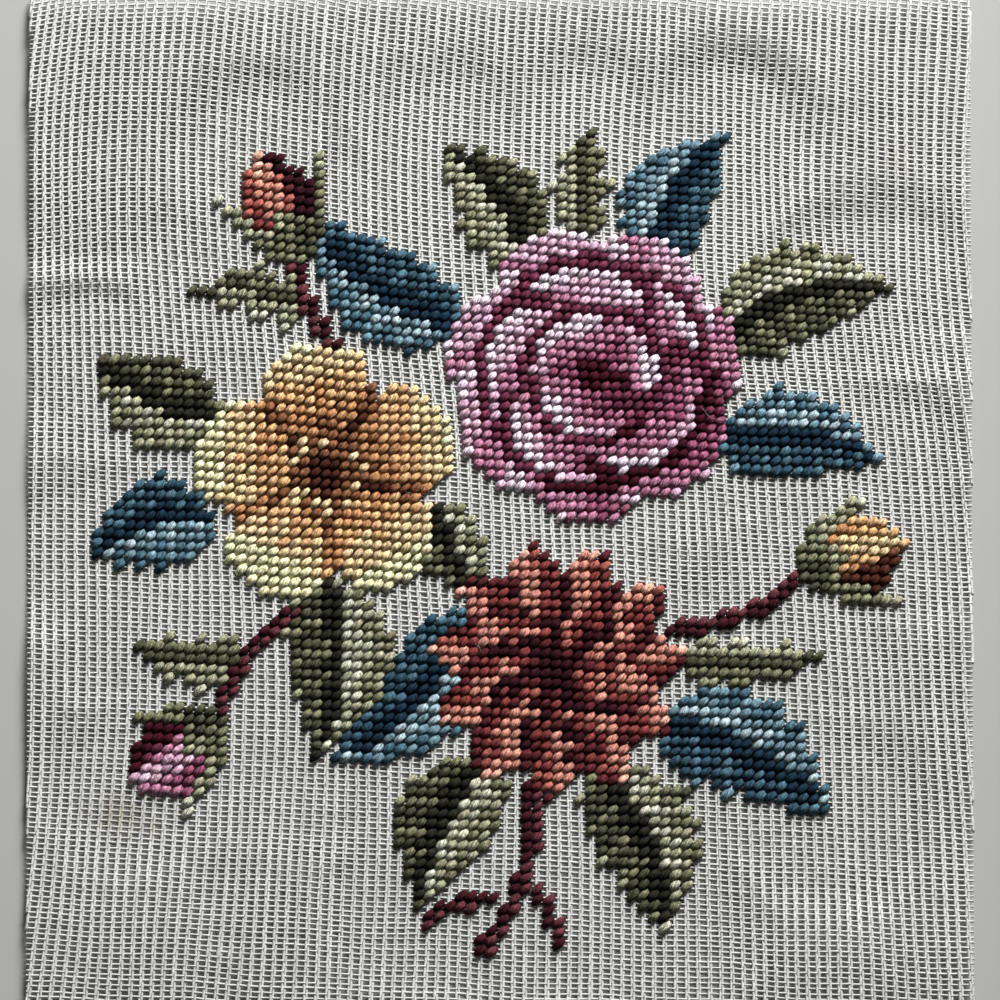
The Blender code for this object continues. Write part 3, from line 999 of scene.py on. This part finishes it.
def trimmed(x, y, keep):
    """Rows of places cut at the panel's edges: those just outside slide back along the thread to them."""
    half_x = 0.5 * PANEL_WIDTH
    half_y = 0.5 * PANEL_HEIGHT
    over = np.maximum(np.abs(x) / half_x, np.abs(y) / half_y)
    within = over <= 1.0
    cut_x = x.copy()
    cut_y = y.copy()
    edge = np.zeros(x.shape, bool)
    for shift in (-1, 1):
        inner = np.roll(within, shift, axis=1)
        inner[:, -1 if shift < 0 else 0] = False
        near = ~within & inner
        ox, oy, oo = (np.roll(values, shift, axis=1) for values in (x, y, over))
        share = (1.0 - oo) / np.maximum(over - oo, 1e-9)
        cut_x = np.where(near, ox + (x - ox) * share, cut_x)
        cut_y = np.where(near, oy + (y - oy) * share, cut_y)
        edge |= near
    return cut_x, cut_y, (within | edge) & keep


def slub_swell(x, y):
    """How much thicker a thread is near each slub, as a factor."""
    swell = np.ones(x.shape)
    for sx, sy, reach, extra in SLUBS:
        swell += extra * np.exp(-(((x - sx) / reach) ** 2) - ((y - sy) / (0.35 * reach)) ** 2)
    return swell


def cotton_colour(x, y, thread, over, canvas):
    """Colour of the cotton: a little different for each thread, with painted highlight where it passes over
    and painted shade where it passes under, and with stains.
    """
    draw = np.random.default_rng(TONE_SEED)
    level = 1.0 + TONE_SPREAD * draw.standard_normal(thread.max() + 1)[thread]
    # Painted highlight on the crossings where the thread passes over, painted shade where it passes under
    level = level * (1.0 + PATCH_SPREAD * ripple(x, y, 21, 5.0)) * np.where(over, OVER_PAINTED_HIGHLIGHT, UNDER_PAINTED_SHADE)
    stain = np.zeros(x.shape)
    for sx, sy, reach, strength in STAINS:
        spread = np.hypot(x - sx, 1.6 * (y - sy)) / reach * (1.0 + 0.35 * ripple(x, y, 22, 4.0))
        stain = np.maximum(stain, strength * np.exp(-spread * spread))
    clean = linear(canvas.cotton) * level[..., None]
    return clean + (linear(canvas.stain) - clean) * stain[..., None]


def thread_set(canvas, hidden, across, band, first_thread):
    """All threads of one direction in one band of rows, as swept strands.

    A thread is a row of crossings. At each it passes over or under by turns, a share of its height up or
    down, so its height is a zigzag of plus and minus one step over the lie of the canvas. The stout warp
    threads stand prouder than the thin weft threads. Where two bands meet, the lengths of a warp thread share
    the crossing that a weft thread covers, and each ends a little slimmer one crossing on, inside the other.
    """
    half_rows, half_columns = (size // 2 for size in hidden.shape)
    column, cell_x = crossings(half_columns, canvas.warp_pairing, canvas.pitch_across)
    row, cell_y = crossings(half_rows, canvas.weft_pairing, canvas.pitch_up)
    low, high = band
    if across:
        rows = np.flatnonzero((row >= low) & (row < high))
    else:
        rows = np.arange(max(2 * (low + half_rows) - 1, 0), min(2 * (high + half_rows) + 3, len(row)))
    grid_x, grid_y = np.meshgrid(cell_x, cell_y[rows])
    turn = rows[:, None] + np.arange(len(cell_x))
    left_out = hidden[row[rows] + half_rows][:, column + half_columns]
    slim = np.ones(left_out.shape)
    whole = (len(cell_y), len(cell_x))
    if across:
        width, height, rise, tone = canvas.weft_width, canvas.weft_height, WEFT_RISE, WEFT_PAINTED_SHADE
    else:
        width, height, rise, tone = canvas.warp_width, canvas.warp_height, WARP_RISE, WARP_PAINTED_LIGHT
        grid_x, grid_y, turn, left_out, slim = grid_x.T, grid_y.T, turn.T, left_out.T, slim.T
        whole = whole[::-1]
        left_out[0::2, 0] = True
        left_out[1::2, -1] = True
        slim[0::2, (1, -1)] = SLIM_END
        slim[1::2, (0, -2)] = SLIM_END
    over = (turn % 2 == 0) != across
    x, y = lie_of_canvas(grid_x, grid_y, canvas)
    thread = np.broadcast_to(np.arange(len(x))[:, None], x.shape)
    draw = np.random.default_rng(WEFT_SEED if across else WARP_SEED)
    axis = 0 if across else 1
    stray = THREAD_STRAY * np.take(draw.standard_normal(whole), rows, axis)
    x, y = (x, y + stray) if across else (x + stray, y)
    x, y, keep = trimmed(x, y, ~left_out)
    level = SHEET_TOP - canvas.warp_height + canvas_lift(x, y) + fold_crest(x, y)
    z = level + np.where(over, 0.5, -0.5) * rise * height
    stout = 1.0 + THREAD_SPREAD * draw.standard_normal((whole[0], 1))
    girth = np.take(stout * (1.0 + CROSSING_SPREAD * draw.standard_normal(whole)), rows, axis)
    girth = np.clip(girth, 0.75, 1.3) * slub_swell(x, y)
    breaks = np.cumsum(~keep.ravel()).reshape(keep.shape)
    strand = (thread * (keep.size + 1) + breaks)[keep]
    joined = joined_strands(strand)
    use = joined | np.append(False, joined[:-1])
    path = np.stack([x, y, z], axis=-1)[keep][use]
    # Warps painted lighter and wefts painted darker than the same cotton
    colour = tone * cotton_colour(x, y, thread + first_thread, over, canvas)[keep][use]
    half_width = (0.5 * width * girth * slim)[keep][use]
    half_height = (0.5 * height * np.clip(girth, 0.85, 1.25) * slim)[keep][use]
    return sweep(path, strand[use], half_width, half_height, THREAD_SIDES, colour)


def make_canvas(canvas):
    """The woven canvas in bands of rows, made in place of the canvas solid, which is hidden."""
    cells = chart(canvas)
    worked = cells["owner"] >= 0
    hidden = ~grown(~worked)
    rows = hidden.shape[0]
    cotton = cotton_material("sized_cotton")
    reach = math.ceil(0.5 * PANEL_HEIGHT / canvas.pitch_up) + SPARE_ROWS
    bounds = np.round(np.linspace(-reach, reach, canvas.bands + 1)).astype(int)
    for number in range(canvas.bands):
        band = (int(bounds[number]), int(bounds[number + 1]))
        weft = thread_set(canvas, hidden, True, band, 0)
        warp = thread_set(canvas, hidden, False, band, 2 * rows)
        mesh = strand_mesh(f"canvas_weave_{number + 1}", [weft, warp], 2)
        piece = show_piece(mesh.name, mesh, cotton)
        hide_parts(CANVAS_NODE)


def stitches(ends, shares, lift, half_width, half_height, sides, colour, fullness=1.0):
    """Straight strands from the first ends to the second, with a ring at each share, raised by the lifts."""
    start, end = ends
    flat = start[:, None, :] + (end - start)[:, None, :] * shares[None, :, None]
    path = np.concatenate([flat, lift[..., None]], axis=-1).reshape(-1, 3)
    strand = np.repeat(np.arange(len(start)), len(shares))
    colour = np.repeat(colour, len(shares), axis=0)
    return sweep(path, strand, half_width.ravel(), half_height.ravel(), sides, colour, fullness)


def unsteady(draw, places, spread):
    """The places, an x and a y for each stitch, each moved by a small chance amount."""
    places = np.stack(places, axis=-1)
    return places + spread * draw.standard_normal(places.shape)


def front_strands(start, end, colour, seed, canvas, wool):
    """The slanting stitches of the worked face: each rises from one hole, domes and dives into the next.

    With w = sin(pi * share), a stitch's half width is a part plus a part of w ** 0.7, its half height a part
    plus a part of w ** 0.8, and its middle rises as w ** 0.42 from inside the canvas.
    """
    draw = np.random.default_rng(seed)
    ends = (unsteady(draw, start, FRONT_STRAY), unsteady(draw, end, FRONT_STRAY))
    wave = np.sin(math.pi * np.clip(FRONT_RINGS, 0.02, 0.98))
    plump = 1.0 + PLUMP_SPREAD * draw.standard_normal((len(colour), 1))
    half_width = 0.5 * wool.width * plump * (0.46 + 0.54 * wave ** 0.7)
    half_height = 0.5 * wool.height * plump * (0.40 + 0.60 * wave ** 0.8)
    low = SHEET_TOP - canvas.warp_height - STITCH_DIVE
    top = SHEET_TOP + STITCH_TOP_SHARE * wool.height + TOP_SPREAD * draw.standard_normal(plump.shape)
    lift = low + (top - low) * wave ** 0.42
    return stitches(
        ends, FRONT_RINGS, lift, half_width, half_height, FRONT_SIDES, colour, STITCH_FULLNESS
    )


def back_strands(start, end, colour, seed, wool):
    """The long slanting strands of the back, pressed flat against the surface that the panel lies on."""
    draw = np.random.default_rng(seed)
    ends = (unsteady(draw, start, BACK_STRAY), unsteady(draw, end, BACK_STRAY))
    plump = 1.0 + BACK_SPREAD * draw.standard_normal((len(colour), 1))
    half_width = 0.5 * wool.back_width * BACK_WAVE * plump
    half_height = 0.5 * wool.back_height * np.broadcast_to(BACK_WAVE, half_width.shape)
    lift = half_height + 0.02 + (0.30 + 0.10 * draw.random(plump.shape)) * (BACK_WAVE < 1.0)
    return stitches(ends, BACK_RINGS, lift, half_width, half_height, BACK_SIDES, colour)


def work_motif(rank, cells, canvas, wool, material):
    """All the stitches of one motif, front and back, as one piece made in place of the motif's pad, which is
    hidden.
    """
    motif = MOTIFS[rank]
    on = cells["owner"] == rank
    column = cells["column"][on]
    row = cells["row"][on]
    draw = np.random.default_rng(COLOUR_SEED + rank)
    colour = wool_ramp(motif.wool, wool)[cells["shade"][on]]
    colour = colour * (1.0 + SHADE_SPREAD * draw.standard_normal((len(colour), 1)))
    colour = np.clip(colour * (1.0 + TINT_SPREAD * draw.standard_normal(colour.shape)), 0.0, 1.0)
    low = lie_of_canvas(column - 0.5, row - 0.5, canvas)
    high = lie_of_canvas(column + 0.5, row + 0.5, canvas)
    front = front_strands(low, high, colour, FRONT_SEED + rank, canvas, wool)
    left = np.roll(cells["owner"], 1, axis=1)[on] == rank
    further = lie_of_canvas(column - np.where(left, 1.5, 0.5), row - 0.5, canvas)
    back = back_strands(high, further, colour, BACK_SEED + rank, wool)
    columns = math.ceil(math.sqrt(2 * len(column)))
    mesh = strand_mesh(f"stitches_{motif.name}", [front, back], columns)
    piece = show_piece(mesh.name, mesh, material)
    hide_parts(motif.name)


def lay_lint(canvas):
    """A few loose fibres on the worked face: each curls by two slow sine waves and lies close to the wool."""
    draw = np.random.default_rng(LINT_SEED)
    share = np.linspace(0.0, 1.0, LINT_RINGS)
    arch = np.sin(math.pi * share)
    single = (LINT_COUNT, 1)
    angle = draw.random(single) * 2.0 * math.pi
    reach = 3.0 + 6.0 * draw.random(single)
    bend = 1.2 * draw.standard_normal((LINT_COUNT, 2, 1))
    turn = angle + bend[:, 0] * arch + bend[:, 1] * np.sin(2.0 * math.pi * share)
    step = reach / (LINT_RINGS - 1)
    x = LINT_FIELD[0] * (2.0 * draw.random(single) - 1.0) + np.cumsum(step * np.cos(turn), axis=1)
    y = LINT_FIELD[1] * (2.0 * draw.random(single) - 1.0) + np.cumsum(step * np.sin(turn), axis=1)
    cells = chart(canvas)
    near = np.hypot(cells["x"][None] - x[:, :1, None], cells["y"][None] - y[:, :1, None])
    owner = cells["owner"].ravel()[near.reshape(LINT_COUNT, -1).argmin(axis=1)]
    z = SHEET_TOP + np.where(owner >= 0, LINT_ON_WOOL, LINT_ON_CANVAS)[:, None] + 0.25 * arch
    path = np.stack([x, y, z + canvas_lift(x, y)], axis=-1).reshape(-1, 3)
    thin = LINT_THIN * np.tile(0.4 + 0.6 * arch, LINT_COUNT)
    tone = np.where(draw.random(LINT_COUNT) < LINT_PALE_SHARE, *LINT_TONES)
    colour = np.repeat(tone[:, None] * LINT_COLOUR, LINT_RINGS, axis=0)
    strand = np.repeat(np.arange(LINT_COUNT), LINT_RINGS)
    part = sweep(path, strand, thin, thin, BACK_SIDES, colour)
    mesh = strand_mesh("loose_fibres", [part], 2)
    show_piece(mesh.name, mesh, wool_material("loose_fibre"))


def work_kinds(kinds, scene):
    """Work every motif of these kinds."""
    cells = chart(scene.canvas_settings)
    for rank, motif in enumerate(MOTIFS):
        if motif.kind in kinds:
            name = f"tapestry_wool_{motif.wool}"
            material = bpy.data.materials.get(name) or wool_material(name)
            work_motif(rank, cells, scene.canvas_settings, scene.wool_settings, material)


def make_stage(studio):
    """A pale floor, a soft light low over the panel's top, a weak one from the left, and the camera."""
    floor_mesh = bpy.data.meshes.new("floor")
    corners = [(FLOOR_REACH * x, FLOOR_REACH * y, 0.0) for x, y in ((-1, -1), (1, -1), (1, 1), (-1, 1))]
    floor_mesh.from_pydata(corners, [], [(0, 1, 2, 3)])
    material = bpy.data.materials.new("floor_paper")
    material.use_nodes = True
    shader = material.node_tree.nodes["Principled BSDF"]
    shader.inputs["Base Color"].default_value = (*linear(studio.floor), 1.0)
    shader.inputs["Roughness"].default_value = 0.9
    floor_mesh.materials.append(material)
    add_object("floor", floor_mesh)
    add_light("key_light", *KEY_LIGHT, studio.key_power)
    add_light("fill_light", *FILL_LIGHT, studio.fill_power)
    world = bpy.data.worlds.new("studio")
    world.use_nodes = True
    sky = world.node_tree.nodes["Background"]
    sky.inputs["Color"].default_value = (*SKY_COLOUR, 1.0)
    sky.inputs["Strength"].default_value = studio.sky
    bpy.context.scene.world = world
    bpy.context.scene.view_settings.view_transform = "Standard"
    add_camera(studio)


def aim(obj, target):
    """Turn an object at its place so that it faces the target."""
    obj.rotation_euler = (Vector(target) - obj.location).to_track_quat("-Z", "Y").to_euler()


def add_light(name, location, size, power):
    """A square area light that faces the panel."""
    light = bpy.data.lights.new(name, "AREA")
    light.size = size
    light.energy = power
    lamp = add_object(name, light)
    lamp.location = location
    aim(lamp, (0.0, 0.0, 0.0))


def add_camera(studio):
    """A camera above the panel, as far off as makes the panel fill its share of the picture's width."""
    camera = bpy.data.cameras.new("camera")
    camera.lens = studio.lens
    view = PANEL_WIDTH * MM / studio.panel_share
    distance = view * studio.lens / camera.sensor_width
    eye = add_object("camera", camera)
    target = Vector((0.0, 0.0, SHEET_TOP * MM))
    toward = Vector((0.0, -math.cos(studio.elevation), math.sin(studio.elevation)))
    eye.location = target + toward * distance
    aim(eye, target)
    bpy.context.scene.camera = eye


class NEEDLEPOINT_OT_stage(bpy.types.Operator):
    """Lay the floor, set the lights and place the camera"""

    bl_idname = "needlepoint.stage"
    bl_label = "Stage"

    def execute(self, context):
        make_stage(context.scene.studio_settings)
        return {"FINISHED"}


class NEEDLEPOINT_OT_canvas(bpy.types.Operator):
    """Weave the canvas, thread by thread"""

    bl_idname = "needlepoint.canvas"
    bl_label = "Canvas"

    def execute(self, context):
        make_canvas(context.scene.canvas_settings)
        return {"FINISHED"}


class NEEDLEPOINT_OT_blooms(bpy.types.Operator):
    """Work the three blooms"""

    bl_idname = "needlepoint.blooms"
    bl_label = "Blooms"

    def execute(self, context):
        work_kinds(tuple(LOBES), context.scene)
        return {"FINISHED"}


class NEEDLEPOINT_OT_buds(bpy.types.Operator):
    """Work the buds and their calyxes"""

    bl_idname = "needlepoint.buds"
    bl_label = "Buds"

    def execute(self, context):
        work_kinds(("bud", "calyx"), context.scene)
        return {"FINISHED"}


class NEEDLEPOINT_OT_leaves(bpy.types.Operator):
    """Work the leaves and sprigs"""

    bl_idname = "needlepoint.leaves"
    bl_label = "Leaves"

    def execute(self, context):
        work_kinds(tuple(TEETH), context.scene)
        return {"FINISHED"}


class NEEDLEPOINT_OT_lint(bpy.types.Operator):
    """Lay a few loose fibres on the worked face"""

    bl_idname = "needlepoint.lint"
    bl_label = "Loose fibres"

    def execute(self, context):
        lay_lint(context.scene.canvas_settings)
        return {"FINISHED"}


class NEEDLEPOINT_OT_stems(bpy.types.Operator):
    """Work the stems and twigs"""

    bl_idname = "needlepoint.stems"
    bl_label = "Stems"

    def execute(self, context):
        work_kinds(("stem",), context.scene)
        return {"FINISHED"}


OPERATORS = (
    NEEDLEPOINT_OT_stage,
    NEEDLEPOINT_OT_canvas,
    NEEDLEPOINT_OT_blooms,
    NEEDLEPOINT_OT_buds,
    NEEDLEPOINT_OT_leaves,
    NEEDLEPOINT_OT_stems,
    NEEDLEPOINT_OT_lint,
)


class NEEDLEPOINT_PT_panel(bpy.types.Panel):
    """Lists the pieces that can be made"""

    bl_label = "Needlepoint"
    bl_space_type = "VIEW_3D"
    bl_region_type = "UI"
    bl_category = "Needlepoint"

    def draw(self, context):
        for operator in OPERATORS:
            self.layout.operator(operator.bl_idname)


SETTINGS = {
    "canvas_settings": CanvasSettings,
    "wool_settings": WoolSettings,
    "studio_settings": StudioSettings,
}
CLASSES = (*SETTINGS.values(), *OPERATORS, NEEDLEPOINT_PT_panel)


def register():
    """Register the classes and hang the settings on the scene."""
    for cls in CLASSES:
        bpy.utils.register_class(cls)
    for name, cls in SETTINGS.items():
        setattr(bpy.types.Scene, name, PointerProperty(type=cls))


def unregister():
    """Take the settings off the scene and unregister the classes."""
    for name in SETTINGS:
        delattr(bpy.types.Scene, name)
    for cls in reversed(CLASSES):
        bpy.utils.unregister_class(cls)


def main():
    """Make the stage and every piece."""
    register()
    bpy.ops.needlepoint.stage()
    bpy.ops.needlepoint.canvas()
    bpy.ops.needlepoint.blooms()
    bpy.ops.needlepoint.buds()
    bpy.ops.needlepoint.leaves()
    bpy.ops.needlepoint.stems()
    bpy.ops.needlepoint.lint()


if __name__ == "__main__":
    main()
